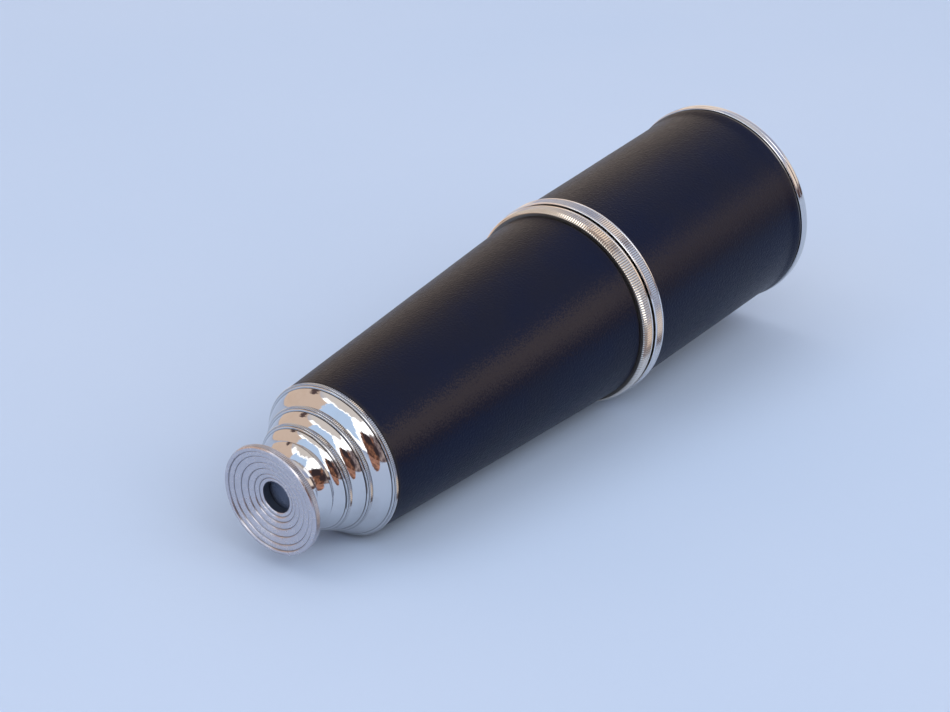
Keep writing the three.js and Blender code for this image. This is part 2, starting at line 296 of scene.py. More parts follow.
class Look:
    """The node tree of a material or a world, under construction."""

    def __init__(self, owner):
        owner.use_nodes = True
        self.owner = owner
        self.tree = owner.node_tree

    def feed(self, socket, value):
        if isinstance(value, bpy.types.NodeSocket):
            self.tree.links.new(value, socket)
        else:
            socket.default_value = value

    def add(self, kind, inputs=(), **settings):
        node = self.tree.nodes.new("ShaderNode" + kind)
        for key, value in settings.items():
            setattr(node, key, value)
        for key, value in dict(inputs).items():
            self.feed(node.inputs[key], value)
        return node

    def turning(self):
        """Millimetres across, up and along the axis, on a turned piece."""
        return self.add("Attribute", attribute_name="turning").outputs["Vector"]

    def grime_and_shade(self):
        return self.add("Attribute", attribute_name="grime_and_shade").outputs["Fac"]

    def place_in_mm(self):
        """The place in the row frame in millimetres, on a CAD node."""
        where = self.add("TexCoord").outputs["Object"]
        return self.add("VectorMath", {0: where, "Scale": 1 / MM}, operation="SCALE").outputs[0]

    def stretched(self, vector, x, y, z):
        return self.add("VectorMath", {0: vector, 1: (x, y, z)}, operation="MULTIPLY").outputs[0]

    def noise(self, vector, scale, detail=3.0, roughness=0.5):
        inputs = {"Vector": vector, "Scale": scale, "Detail": detail, "Roughness": roughness}
        return self.add("TexNoise", inputs).outputs["Fac"]

    def math(self, operation, a, b=0.0):
        return self.add("Math", {0: a, 1: b}, operation=operation).outputs[0]

    def span(self, value, low, high, to_low=0.0, to_high=1.0, smooth=False):
        settings = {"interpolation_type": "SMOOTHSTEP"} if smooth else {}
        inputs = {"Value": value, "From Min": low, "From Max": high, "To Min": to_low, "To Max": to_high}
        return self.add("MapRange", inputs, **settings).outputs["Result"]

    def mix(self, share, a, b, blend="MIX"):
        node = self.add("Mix", data_type="RGBA", blend_type=blend)
        self.feed(node.inputs["Factor"], share)
        self.feed(node.inputs[6], a)
        self.feed(node.inputs[7], b)
        return node.outputs[2]

    def bump(self, height, strength, distance, under=None):
        inputs = {"Height": height, "Strength": strength, "Distance": distance}
        if under is not None:
            inputs["Normal"] = under
        return self.add("Bump", inputs).outputs["Normal"]

    def finish(self, **sockets):
        shader = self.tree.nodes["Principled BSDF"]
        for name, value in sockets.items():
            self.feed(shader.inputs[name.replace("_", " ")], value)
        return self.owner


def material_look(name):
    return Look(bpy.data.materials.new(name))


# ---------------------------------------------------------------- materials

CLEAR_PLATE = (0.66, 0.655, 0.66, 1)
TARNISH = (0.46, 0.40, 0.34, 1)
# the colour of grime and painted shade in grooves, between knurl teeth and at the edges of fittings
GRIME_AND_SHADE = (0.060, 0.055, 0.055, 1)
HAZE = 0.05  # the most that smears add to the roughness
GRIME_AND_SHADE_ROUGHNESS = 0.35


def plate(name, roughness, colour=CLEAR_PLATE):
    """Nickel plate: fine turning marks, faint smears, a little tarnish, and grime with painted shade in the
    grooves and between the knurl teeth.
    """
    look = material_look(name)
    where = look.turning()
    smears = look.noise(where, 0.35, 4.0, 0.6)
    tarnish = look.span(look.noise(where, 0.12, 5.0, 0.65), 0.52, 0.80, 0.0, 0.25)
    grime_and_shade_share = look.span(look.grime_and_shade(), 0.15, 1.0, 0.0, 0.85)
    base = look.mix(grime_and_shade_share, look.mix(tarnish, colour, TARNISH), GRIME_AND_SHADE)
    marks = look.noise(look.stretched(where, 0.15, 0.15, 9.0), 1.0, 2.0)
    scratches = look.noise(look.stretched(where, 2.5, 0.4, 2.5), 1.4, 6.0, 0.75)
    worn = look.span(smears, 0.4, 0.75, roughness, roughness + HAZE)
    rough = look.math("ADD", worn, look.math("MULTIPLY", grime_and_shade_share, GRIME_AND_SHADE_ROUGHNESS))
    normal = look.bump(marks, 0.04, 0.0001)
    normal = look.bump(scratches, 0.015, 0.0001, normal)
    return look.finish(Base_Color=base, Metallic=1.0, Roughness=rough, Normal=normal)


def satin_plate():
    """The eyecup's face: turned rings left a silky sheen that runs across them."""
    look = material_look("satin plate")
    where = look.turning()
    smears = look.noise(where, 0.5, 4.0, 0.6)
    # the turned grooves are darkened to a blue-grey: grime and painted shade
    grime_and_shade_share = look.span(look.grime_and_shade(), 0.1, 1.0, 0.0, 0.94)
    tint = look.mix(look.span(smears, 0.35, 0.7), (0.57, 0.54, 0.57, 1), (0.64, 0.605, 0.63, 1))
    base = look.mix(grime_and_shade_share, tint, (0.13, 0.145, 0.18, 1))
    split = look.add("SeparateXYZ", {0: where})
    distance = look.add("VectorMath", {0: look.stretched(where, 1, 1, 0)}, operation="LENGTH")
    spiral = look.math("ADD", look.math("MULTIPLY", distance.outputs["Value"], 14.0), split.outputs["Z"])
    rings = look.add("TexNoise", {"W": spiral, "Scale": 1.0, "Detail": 2.0}, noise_dimensions="1D")
    normal = look.bump(rings.outputs["Fac"], 0.12, 0.0001)
    silky = look.span(smears, 0.3, 0.7, 0.22, 0.30)
    rough = look.math("ADD", silky, look.math("MULTIPLY", grime_and_shade_share, GRIME_AND_SHADE_ROUGHNESS))
    tangent = look.add("Tangent", direction_type="RADIAL", axis="X").outputs[0]
    return look.finish(
        Base_Color=base,
        Metallic=1.0,
        Roughness=rough,
        Normal=normal,
        Tangent=tangent,
        Anisotropic=0.8,
        Anisotropic_Rotation=0.25,
    )


def leather():
    """Black morocco with a fine pebbled grain and creases. Its navy tone is partly a painted reflection, and
    painted reflections lie along it: brownish over the top and the far side, brown along the near side.
    """
    look = material_look("black leather")
    where = look.turning()
    drift = look.noise(where, 0.05, 3.0, 0.5)
    pebbles = look.add(
        "TexVoronoi", {"Vector": where, "Scale": 1.7, "Randomness": 0.95}, feature="SMOOTH_F1"
    ).outputs["Distance"]
    pores = look.noise(where, 5.5, 4.0, 0.6)
    creases = look.noise(look.stretched(where, 1.0, 1.0, 0.55), 0.9, 5.0, 0.7)
    split = look.add("SeparateXYZ", {0: where})
    near = look.math("MULTIPLY", split.outputs["X"], -1.0)
    even_turn = look.math("DEGREES", look.math("ARCTAN2", near, split.outputs["Y"]))
    grain = look.span(look.noise(where, 2.2, 5.0, 0.7), 0.3, 0.7, -10.0, 10.0)
    turn = look.math("ADD", even_turn, grain)

    def band(middle, core, reach, share):
        """A share inside a band along the leather, in degrees round from the top to the near side."""
        off = look.math("ABSOLUTE", look.math("SUBTRACT", turn, middle))
        return look.span(off, core, reach, share, 0.0, smooth=True)

    shade = look.span(drift, 0.35, 0.65)
    # painted reflection: a brown band along the near side, weaker on the shade's leather
    less_on_shade = look.span(split.outputs["Z"], 110, 150, 1.0, 0.55)
    brown_reflection_band = look.math("MULTIPLY", band(61.0, 1.0, 15.0, 1.0), less_on_shade)
    # two tones that drift at random; their navy blue is partly a painted reflection of blue surroundings on black
    # leather
    colour = look.mix(shade, (0.0012, 0.0040, 0.020, 1), (0.0032, 0.0050, 0.017, 1))
    # painted reflection: a brownish tone over the top and the far side
    colour = look.mix(band(-65.0, 60.0, 85.0, 1.0), colour, (0.0070, 0.0056, 0.010, 1))
    # painted reflection: a more neutral dark band along the near side, below the brown band
    colour = look.mix(band(69.0, 4.0, 14.0, 1.0), colour, (0.0045, 0.0038, 0.012, 1))
    colour = look.mix(brown_reflection_band, colour, (0.026, 0.021, 0.025, 1))
    rubbed = look.span(pebbles, 0.10, 0.0, 0.0, 0.4, smooth=True)
    colour = look.mix(rubbed, colour, (0.018, 0.015, 0.017, 1))
    colour = look.mix(look.math("MULTIPLY", look.grime_and_shade(), 0.8), colour, (0.030, 0.026, 0.024, 1))
    rough = look.span(creases, 0.3, 0.7, 0.32, 0.44)
    normal = look.bump(pebbles, 0.45, 0.0002)
    normal = look.bump(pores, 0.25, 0.00012, normal)
    normal = look.bump(creases, 0.15, 0.00025, normal)
    return look.finish(Base_Color=colour, Roughness=rough, Normal=normal, Specular_IOR_Level=0.13)


def thread():
    """Waxed linen thread."""
    look = material_look("waxed thread")
    where = look.turning()
    twist = look.noise(look.stretched(where, 3, 3, 9), 1.0, 2.0)
    colour = look.mix(twist, (0.012, 0.010, 0.009, 1), (0.045, 0.036, 0.028, 1))
    return look.finish(Base_Color=colour, Roughness=0.55, Normal=look.bump(twist, 0.4, 0.0001))


def brass(name, where_from):
    look = material_look(name)
    where = where_from(look)
    spots = look.noise(where, 0.6, 5.0, 0.65)
    marks = look.noise(look.stretched(where, 4.0, 0.4, 0.4), 1.0, 3.0)
    colour = look.mix(look.span(spots, 0.35, 0.7), (0.62, 0.42, 0.16, 1), (0.26, 0.16, 0.07, 1))
    rough = look.span(spots, 0.3, 0.7, 0.28, 0.5)
    normal = look.bump(marks, 0.1, 0.0001)
    return look.finish(Base_Color=colour, Metallic=1.0, Roughness=rough, Normal=normal)


def blackened(name, where_from):
    """Matt optical black over brass, thin enough in spots to show a brown tone."""
    look = material_look(name)
    where = where_from(look)
    spots = look.noise(where, 0.8, 5.0, 0.6)
    colour = look.mix(look.span(spots, 0.45, 0.8), (0.006, 0.006, 0.007, 1), (0.028, 0.021, 0.016, 1))
    rough = look.span(spots, 0.3, 0.7, 0.5, 0.7)
    normal = look.bump(look.noise(where, 6.0, 2.0), 0.15, 0.0001)
    return look.finish(Base_Color=colour, Metallic=0.3, Roughness=rough, Normal=normal)


def hole_paint_and_reflection():
    """Glossy dark paint inside the eye hole. Its blue-grey tone, a little lighter in spots, is a painted
    reflection.
    """
    look = material_look("eye hole paint and painted reflection")
    spots = look.noise(look.turning(), 1.2, 4.0, 0.6)
    colour = look.mix(look.span(spots, 0.4, 0.8), (0.024, 0.032, 0.052, 1), (0.032, 0.039, 0.056, 1))
    rough = look.span(spots, 0.3, 0.7, 0.35, 0.5)
    return look.finish(Base_Color=colour, Roughness=rough)


def glass(name, tint, clear=1.0):
    """Polished lens glass with an uneven, very faint film of dust. What is not clear scatters the tint."""
    look = material_look(name)
    dust = look.noise(look.turning(), 1.2, 5.0, 0.7)
    rough = look.span(dust, 0.45, 0.8, 0.0, 0.05)
    return look.finish(Base_Color=tint, Roughness=rough, IOR=1.52, Transmission_Weight=clear)


PLATE = plate("polished plate", 0.035)
TUBE_PLATE = plate("drawn tube plate", 0.06)
KNURL_PLATE = plate("knurled plate", 0.12, colour=(0.84, 0.82, 0.81, 1))
WARM_KNURL_PLATE = plate("worn knurled plate", 0.14, colour=(0.90, 0.82, 0.73, 1))
SATIN_PLATE = satin_plate()
LEATHER = leather()
THREAD = thread()
BRASS = brass("old brass", Look.turning)
BLACK = blackened("optical black", Look.turning)
HOLE_PAINT_AND_REFLECTION = hole_paint_and_reflection()
CAD_BRASS = brass("inner brass", Look.place_in_mm)
CAD_BLACK = blackened("inner black", Look.place_in_mm)
FRONT_GLASS = glass("coated crown glass", (0.93, 0.97, 0.98, 1))
EYE_GLASS = glass("eye lens glass", (0.86, 0.92, 0.96, 1))
# the eye lens's blue-grey tint, which it scatters where it is not clear, is a painted reflection
REFLECTION_TINTED_GLASS = glass("eye lens glass with painted reflection", (0.25, 0.31, 0.47, 1), clear=0.6)

# ---------------------------------------------------------------- eyecup and its neck

CUP_TERRACES = [5.8, 7.2, 9.05, 11.1, 13.2, 14.8]  # radii of the turned grooves in the eyecup's face
CUP_GROOVE = 0.40  # width
CUP_GROOVE_DEPTH = 0.18
CUP_TILT_SHARE = 0.74  # how much of the dish's slope a terrace keeps
CUP_CROWN = 0.045  # how far a terrace bulges
CUP_LIP_SINK = 0.30  # of the outermost groove behind the front lip
CUP_TERRACE_STEPS = 6
CUP_BORE = 0.9  # the depth of the eye hole's wall
CUP_TEETH = 180


def eyecup():
    cad = Section("eyecup")
    hole = cad.inner
    sink, _ = cad.stations_of(hole)
    rim = cad.outer
    _, back = cad.stations_of(rim)
    _, hub = cad.radii_at(cad.end)
    lip = CUP_TERRACES[-1]

    def depth(radius):
        return CUP_LIP_SINK + (sink - CUP_LIP_SINK) * (lip - radius) / (lip - hole)

    corners = [point(sink + CUP_BORE, hole), point(sink, hole + 0.12, 0.12)]
    for low, high in zip([hole, *CUP_TERRACES], CUP_TERRACES):
        flat_low, flat_high = low + CUP_GROOVE / 2, high - CUP_GROOVE / 2
        middle = depth((low + high) / 2)
        for k in range(CUP_TERRACE_STEPS + 1):
            share = k / CUP_TERRACE_STEPS
            radius = flat_low + (flat_high - flat_low) * share
            bulge = CUP_CROWN * 4 * share * (1 - share)
            corners.append(point(middle + CUP_TILT_SHARE * (depth(radius) - middle) - bulge, radius))
        corners.append(point(depth(high) + CUP_GROOVE_DEPTH, high, grime_and_shade=0.8))
    corners += [
        point(0.10, lip + CUP_GROOVE / 2, 0.12),
        point(0.0, rim - 0.85, 0.4),
        point(0.05, rim - 0.35, 0.3),
        point(0.45, rim - 0.04, 0.2),
        point(0.58, rim - 0.20, grime_and_shade=0.9),
        *knurled_band(0.60, back + 0.02, rim, 0.17),
        point(back + 0.06, rim - 0.32, grime_and_shade=0.9),
        point(back + 0.1, rim - 0.12, 0.08),
        point(back + 0.3, rim - 0.22, 0.1),
        point(back + 0.3, hub, grime_and_shade=0.3),
        point(cad.end, hub),
        point(cad.end, hole),
    ]
    turned("eyecup", "draw1", corners, SATIN_PLATE, inside=HOLE_PAINT_AND_REFLECTION, teeth=CUP_TEETH)


HAIRLINE = 0.08  # between two fittings that meet
NECK_TURN = math.radians(16)


def eyepiece_housing():
    """A trumpet mouth behind the eyecup, a throat, and a cone that opens to the first end cap."""
    cad = Section("eyepiece_housing")
    hub, mouth = cad.radii_at(cad.start)
    bore, spigot = cad.radii_at(cad.end)
    ledge, _ = cad.stations_of(bore)
    throat = cad.radius[cad.radius > hub + 0.05].min()
    throat_station, _ = cad.stations_of(throat)
    cap = Section("draw2_end_cap")
    _, cap_nose = cap.radii_at(cap.start)
    cone_end = cap.start - HAIRLINE
    corners = [point(cad.start, hub), point(cad.start, mouth - 0.1, 0.1)]
    for k in range(CURVE_STEPS):
        share = k / CURVE_STEPS
        station = cad.start + 0.05 + (throat_station - cad.start) * share
        corners.append(point(station, throat + (mouth - throat) * (1 - share) ** 3))
    corners += [
        *dome(throat_station, throat, cone_end - 0.06, cap_nose - 0.08, turn=NECK_TURN),
        point(cone_end, cap_nose - 0.14),
        point(cone_end, spigot),
        point(cad.end, spigot, 0.2),
        point(cad.end, bore),
        point(ledge, bore),
        point(ledge, hub),
    ]
    turned("eyepiece_housing", "draw1", corners, PLATE)


# ---------------------------------------------------------------- domed end caps


def end_cap(node, body, teeth):
    """The dome runs into a thin groove, then a smooth bead, another groove and the knurled rim."""
    cad = Section(node)
    bore, nose = cad.radii_at(cad.start)
    rim = cad.outer
    rim_start, rim_end = cad.stations_of(rim)
    at_rim = cad.radius[np.abs(cad.station - rim_start) < cad.NEAR]
    shoulder = at_rim[at_rim < rim - 0.1].max()
    seat, spigot = cad.radii_at(cad.end)
    ledge = cad.stations_of(seat)[0]
    corners = [
        point(cad.start, bore, 0.15),
        point(cad.start, nose - 0.15, 0.1),
        *dome(cad.start + 0.05, nose, rim_start - 0.26, shoulder),
        point(rim_start - 0.20, shoulder - 0.16, grime_and_shade=1.0),
        point(rim_start - 0.05, shoulder - 0.16, grime_and_shade=1.0),
        *bead(rim_start, rim_start + 0.40, shoulder - 0.05, shoulder + 0.62, grime_and_shade=0.8),
        point(rim_start + 0.44, shoulder + 0.30, grime_and_shade=0.7),
        *knurled_band(rim_start + 0.46, rim_end + 0.06, rim, 0.18),
        point(rim_end + 0.1, rim - 0.45, grime_and_shade=0.8),
        point(rim_end + 0.1, spigot),
        point(cad.end, spigot, 0.2),
        point(cad.end, seat),
        point(ledge, seat),
        point(ledge, bore),
    ]
    turned(node, body, corners, PLATE, teeth=teeth)


# ---------------------------------------------------------------- the middle pair of rings


def barrel_mid_ring():
    cad = Section("barrel_mid_ring")
    start, end, radius = cad.start, cad.end, cad.outer
    seat = cad.radii_at(start)[0]
    bore = cad.radii_at(end)[0]
    web = cad.stations_of(bore)[0]
    tooth = 0.24
    corners = [
        point(start, seat),
        # the step down to the leather is painted dark: grime and painted shade in the gap
        point(start, radius - 1.75, grime_and_shade=1.2),
        point(start + 0.02, radius - 1.00, grime_and_shade=1.2),
        point(start + 0.10, radius - 0.88, knurl=tooth / 2, grime_and_shade=0.3),
        point(start + 0.45, radius - 0.50, 0.5, knurl=tooth),
        point(start + 1.20, radius - 0.10, 0.5, knurl=tooth),
        point(end - 0.68, radius - 0.03, knurl=tooth),
        point(end - 0.60, radius - 0.32, grime_and_shade=0.8),
        point(end - 0.54, radius - 0.04, 0.08),
        point(end - 0.05, radius - 0.08, 0.08),
        point(end, radius - 0.6),
        point(end, bore),
        point(web, bore),
        point(web, seat),
    ]
    turned("barrel_mid_ring", "barrel", corners, WARM_KNURL_PLATE, teeth=260)


def shade_rear_ring():
    cad = Section("shade_rear_ring")
    start, end, radius = cad.start, cad.end, cad.outer
    bore = cad.radii_at(start)[0]
    seat = cad.radii_at(end)[0]
    web = cad.stations_of(seat)[0]
    corners = [
        point(start, bore),
        point(start, radius - 0.02, 0.2),
        point(start + 0.55, radius - 0.02, 0.2),
        point(start + 0.60, radius - 0.35, grime_and_shade=0.8),
        *knurled_band(start + 0.64, end - 0.60, radius - 0.03, 0.20),
        point(end - 0.56, radius - 0.35, grime_and_shade=0.8),
        point(end - 0.52, radius - 0.02, 0.12),
        point(end, radius - 0.06, 0.2),
        point(end, seat),
        point(web, seat),
        point(web, bore),
    ]
    turned("shade_rear_ring", "shade", corners, KNURL_PLATE, teeth=290)


# ---------------------------------------------------------------- front bezel


def shade_front_bezel():
    cad = Section("shade_front_bezel")
    start, end, radius = cad.start, cad.end, cad.outer
    seat = cad.radii_at(start)[0]
    aperture = cad.radii_at(end)[0]
    web = cad.stations_of(aperture)[0]
    corners = [
        point(start, seat),
        # a dark line where the leather meets the bezel: grime and painted shade
        point(start, radius - 0.85, 0.1, grime_and_shade=0.9),
        point(start + 0.35, radius - 0.75, grime_and_shade=0.9),
        point(start + 0.45, radius - 0.10, 0.3),
        point(start + 1.75, radius - 0.02, 0.45),
        point(start + 1.90, radius - 0.40, grime_and_shade=0.8),
        point(start + 2.05, radius - 0.12, 0.3),
        point(end - 0.50, radius - 0.10, 0.9),
        point(end, radius - 1.45, 0.35),
        point(end - 0.12, radius - 1.85, 0.2, grime_and_shade=0.3),
        point(end - 0.02, aperture + 0.4, 0.25),
        point(end - 0.35, aperture, 0.25),
        point(web, aperture),
        point(web, seat),
    ]
    turned("shade_front_bezel", "shade", corners, PLATE, inside=BLACK)


# ---------------------------------------------------------------- leather with a sewn seam

SEAM_TURN = math.radians(-62)  # on the underside, away from the camera
STITCH_PITCH = 3.2
STITCH_LENGTH = 2.3
STITCH_SLANT = 0.45  # along the axis, from the middle of a stitch to its end
STITCH_RADIUS = 0.2
STITCH_DIP = 0.16  # of its ends into the leather
STITCH_EDGE = 60  # degrees
VALLEY_DEPTH = 0.26
VALLEY_WIDTH = 0.28
LIP_HEIGHT = 0.10
LIP_PULL = 0.12  # how far a stitch draws a lip in
LIP_PLACE = 0.9  # from the seam
LIP_WIDTH = 0.45
SKIN_SWELL = 0.025
SEAM_REACH = 2.6  # how far beside the seam the columns are close
SEAM_STEP = 0.14
SKIN_COLUMNS = 300
SKIN_ROWS = 110
FLARE_REACH = 2.6  # from the middle of the flare to the end of the leather
FLARE_SOFTNESS = 0.7


def seam_angles(radius):
    """Even angles with closer ones beside the seam."""
    reach = SEAM_REACH / radius
    fine = np.arange(-SEAM_REACH, SEAM_REACH, SEAM_STEP) / radius
    coarse = np.linspace(reach, 2 * math.pi - reach, SKIN_COLUMNS)
    return SEAM_TURN + np.concatenate([fine, coarse])


def skin_height(stations, radii, turns):
    """The sewn edges meet in a narrow valley, and each stitch pulls them in. The rest lies almost even."""
    distance = (turns - SEAM_TURN) * radii
    distance = np.where(distance > math.pi * radii, distance - 2 * math.pi * radii, distance)
    pull = 0.5 + 0.5 * np.cos(2 * math.pi * stations / STITCH_PITCH)
    valley = VALLEY_DEPTH * np.exp(-((distance / VALLEY_WIDTH) ** 2))
    lip_shape = np.exp(-(((np.abs(distance) - LIP_PLACE) / LIP_WIDTH) ** 2))
    lips = (LIP_HEIGHT - LIP_PULL * pull) * lip_shape
    swell = np.sin(3 * turns + stations * 0.11) * np.sin(5 * turns - stations * 0.07)
    return lips - valley + SKIN_SWELL * swell


def stitches(name, body, first, last, surface):
    """Waxed stitches across the seam, each a short rounded bar that lies on the leather."""
    sides, rings = 8, 7
    share = np.linspace(-1, 1, rings)[:, None]
    around = even_angles(sides)[None, :]
    thickness = STITCH_RADIUS * np.sqrt(np.maximum(0.06, 1 - np.abs(share) ** 3))
    corner = np.arange(rings * sides).reshape(rings, sides)
    beside = np.roll(corner, -1, axis=1)
    wall = np.stack([corner[:-1], beside[:-1], beside[1:], corner[1:]], axis=-1).reshape(-1, 4)
    local, faces = [], []
    stations = np.arange(first + STITCH_PITCH, last - STITCH_PITCH / 2, STITCH_PITCH)
    for number, station in enumerate(stations):
        middle = station + STITCH_SLANT * share
        height = surface(middle) - 0.02 - STITCH_DIP * share**2
        turn = SEAM_TURN + share * STITCH_LENGTH / 2 / height
        radius = height + thickness * np.sin(around)
        along = middle + thickness * np.cos(around)
        bar = np.stack([radius * np.cos(turn), radius * np.sin(turn), along], axis=-1)
        local.append(bar.reshape(-1, 3))
        base = number * corner.size
        faces += (wall + base).tolist()
        faces.append((corner[0, ::-1] + base).tolist())
        faces.append((corner[-1] + base).tolist())
    local = np.concatenate(local)
    mesh = bpy.data.meshes.new(name)
    mesh.from_pydata(in_row_frame(local), [], faces)
    mark(mesh, "turning", "FLOAT_VECTOR", "vector", local)
    place(name, mesh, body, [], THREAD, edge=STITCH_EDGE)


def leather_cover(node, body, flare=0.0):
    """Leather over a tube. The flare is its rise over the hidden skirt of the ring at its far end."""
    cad = Section(node)
    inner_start, outer_start = cad.radii_at(cad.start)
    inner_end, outer_end = cad.radii_at(cad.end)

    def surface(station):
        share = (station - cad.start) / (cad.end - cad.start)
        rise = flare / (1 + np.exp((cad.end - FLARE_REACH - station) / FLARE_SOFTNESS))
        return outer_start + (outer_end - outer_start) * share + rise

    def sway(stations, radii, turns):
        on_skin = radii > surface(stations) - (outer_start - inner_start) / 2
        return stations, radii + np.where(on_skin, skin_height(stations, radii, turns), 0.0)

    skin = []
    for station in np.linspace(cad.start, cad.end, SKIN_ROWS)[1:-1]:
        from_edge = min(station - cad.start, cad.end - station)
        skin.append(point(station, surface(station), grime_and_shade=max(0.0, 0.35 - 0.3 * from_edge)))
    corners = [
        point(cad.start, inner_start),
        point(cad.start, outer_start, 0.4, grime_and_shade=0.5),
        *skin,
        point(cad.end, surface(cad.end), 0.3, grime_and_shade=0.5),
        point(cad.end, inner_end),
    ]
    angles = seam_angles((outer_start + outer_end) / 2)
    turned(node, body, corners, LEATHER, angles=angles, sway=sway)
    stitches(node + "_stitches", body, cad.start, cad.end, surface)


# ---------------------------------------------------------------- tubes

TUBE_FILLET = 0.2


def plain_tube(node, body, finish, inside):
    cad = Section(node)
    inner_start, outer_start = cad.radii_at(cad.start)
    inner_end, outer_end = cad.radii_at(cad.end)
    corners = [
        point(cad.start, inner_start, TUBE_FILLET),
        point(cad.start, outer_start, TUBE_FILLET),
        point(cad.end, outer_end, TUBE_FILLET),
        point(cad.end, inner_end, TUBE_FILLET),
    ]
    turned(node, body, corners, finish, inside=inside)


# ---------------------------------------------------------------- objective

NOTCH_HALF_WIDTH = 1.2  # of the spanner notches
LENS_STEPS = 16


def objective_cell():
    cad = Section("objective_cell")
    ledge, spigot = cad.radii_at(cad.start)
    flange = cad.outer
    flange_start = cad.stations_of(flange)[0]
    seat = cad.radii_at(cad.end)[0]
    ledge_end = cad.stations_of(seat)[0]
    corners = [
        point(cad.start, ledge, 0.2),
        point(cad.start, spigot, 0.2),
        point(flange_start, spigot),
        point(flange_start, flange, 0.3),
        point(cad.end - 2.0, flange, 0.3),
        point(cad.end - 1.9, flange - 0.3, grime_and_shade=0.4),
        point(cad.end - 1.7, flange - 0.1, 0.2),
        point(cad.end, flange - 0.5, 0.5),
        point(cad.end, seat + 0.5, 0.3),
        point(cad.end - 0.5, seat, 0.3),
        point(ledge_end, seat),
        point(ledge_end, ledge),
    ]
    turned("objective_cell", "barrel", corners, BLACK)


def objective_retainer():
    cad = Section("objective_retainer")
    notch_floor = (cad.start + cad.end) / 2

    def notches(stations, radii, turns):
        across = np.abs(np.sin(turns)) * radii < NOTCH_HALF_WIDTH
        return np.where(across & (stations > notch_floor), notch_floor, stations), radii

    inner, outer = cad.radii_at(cad.start)
    corners = [
        point(cad.start, inner),
        point(cad.start, outer),
        point(cad.end, outer, 0.15),
        point(cad.end, inner, 0.3),
    ]
    angles = even_angles(2 * COLUMNS)
    turned("objective_retainer", "barrel", corners, BLACK, angles=angles, sway=notches)


def lens(node, body, finish):
    """Both faces are read from the CAD lens: the middle and the edge of each give its curve."""
    cad = Section(node)
    radius = cad.outer
    middle_near, middle_far = cad.stations_of(0.0)
    edge_near, edge_far = cad.stations_of(radius)

    def face(middle, edge):
        shares = [k / LENS_STEPS for k in range(LENS_STEPS + 1)]
        return [point(middle + (edge - middle) * s * s, radius * s) for s in shares]

    near = face(middle_near, edge_near)
    far = face(middle_far, edge_far)
    turned(node, body, [*near, *reversed(far)], finish)


# ---------------------------------------------------------------- assembly

eyecup()
eyepiece_housing()
end_cap("draw2_end_cap", "draw2", teeth=175)
end_cap("draw3_end_cap", "draw3", teeth=205)
end_cap("barrel_end_cap", "barrel", teeth=250)
barrel_mid_ring()
shade_rear_ring()
shade_front_bezel()
leather_cover("barrel_leather", "barrel")
leather_cover("shade_leather", "shade", flare=0.6)
for number in (1, 2, 3):
    plain_tube(f"draw{number}_tube", f"draw{number}", TUBE_PLATE, inside=BLACK)
plain_tube("nose_tube", "barrel", TUBE_PLATE, inside=BLACK)
plain_tube("shade_tube", "shade", BRASS, inside=BLACK)
objective_cell()
objective_retainer()
lens("objective_crown_lens", "barrel", FRONT_GLASS)
lens("objective_flint_lens", "barrel", FRONT_GLASS)
lens("eye_lens", "draw1", REFLECTION_TINTED_GLASS)

slots = {s["node"]: s["material_slot"] for s in frame["record"]["subparts"]}
cad_finishes = {"brass": CAD_BRASS, "chrome": CAD_BRASS, "glass": EYE_GLASS}
for name, node in frame["nodes"].items():
    if not node.hide_render:
        node.data.materials.clear()
        node.data.materials.append(cad_finishes.get(slots[name], CAD_BLACK))

# ---------------------------------------------------------------- floor

FLOOR_DROP = 0.12 * MM  # the smooth rims reach a little below the CAD's flats
RAMP_START = -0.128  # where the floor starts to fall away, so that the draws can come out
RAMP_BLEND = 0.06
RAMP_SLOPE = math.tan(math.radians(6))
RAMP_END = -1.2
RAMP_STOPS = np.linspace(-1.3, 0.2, 151)  # close rows of points over the whole ramp
FLOOR_REACH = 6.0


def floor_height(x):
    run = np.clip(RAMP_START - x, 0, RAMP_START - RAMP_END)
    return -FLOOR_DROP - RAMP_SLOPE * (np.sqrt(run * run + RAMP_BLEND**2) - RAMP_BLEND)


def floor_material():
    look = material_look("pale paper")
    where = look.add("TexCoord").outputs["Object"]
    broad = look.noise(where, 3.5, 3.0)
    fibre = look.noise(where, 90.0, 4.0, 0.6)
    colour = look.mix(look.span(broad, 0.35, 0.65), (0.446, 0.548, 0.724, 1), (0.426, 0.535, 0.719, 1))
    normal = look.bump(fibre, 0.08, 0.001)
    return look.finish(Base_Color=colour, Roughness=0.85, Normal=normal, Specular_IOR_Level=0.2)


def grid_faces(rows, columns):
    """The quads between rows of points."""
    corner = np.arange(rows * columns).reshape(rows, columns)
    quads = [corner[:-1, :-1], corner[:-1, 1:], corner[1:, 1:], corner[1:, :-1]]
    return np.stack(quads, axis=-1).reshape(-1, 4).tolist()


def floor():
    stops = np.concatenate([[-FLOOR_REACH, -3.0], RAMP_STOPS, [1.0, FLOOR_REACH]])
    sides = (-FLOOR_REACH, -1.0, 0.0, 1.0, FLOOR_REACH)
    points = [(x, y, floor_height(x)) for y in sides for x in stops]
    mesh = bpy.data.meshes.new("floor")
    mesh.from_pydata(points, [], grid_faces(len(sides), len(stops)))
    mesh.polygons.foreach_set("use_smooth", [True] * len(mesh.polygons))
    mesh.materials.append(floor_material())
    sheet = bpy.data.objects.new("floor", mesh)
    link(sheet)


floor()

# ---------------------------------------------------------------- the glowing sheet that the plate reflects: a painted reflection

GLOW_MIDDLE = Vector((-0.088, -0.012))
GLOW_HEIGHT = 0.0004  # over the floor
GLOW_SEEN_FROM = 0.035  # the height of the plate that reflects it
GLOW_DROP = np.radians(20)  # from there down to the near edge
GLOW_FAR_EDGE = 2.5  # from its middle
GLOW_SPAN = np.radians((-153, -121))  # its azimuths seen from its middle
GLOW_COLUMNS = 41
GLOW_ROWS = 9


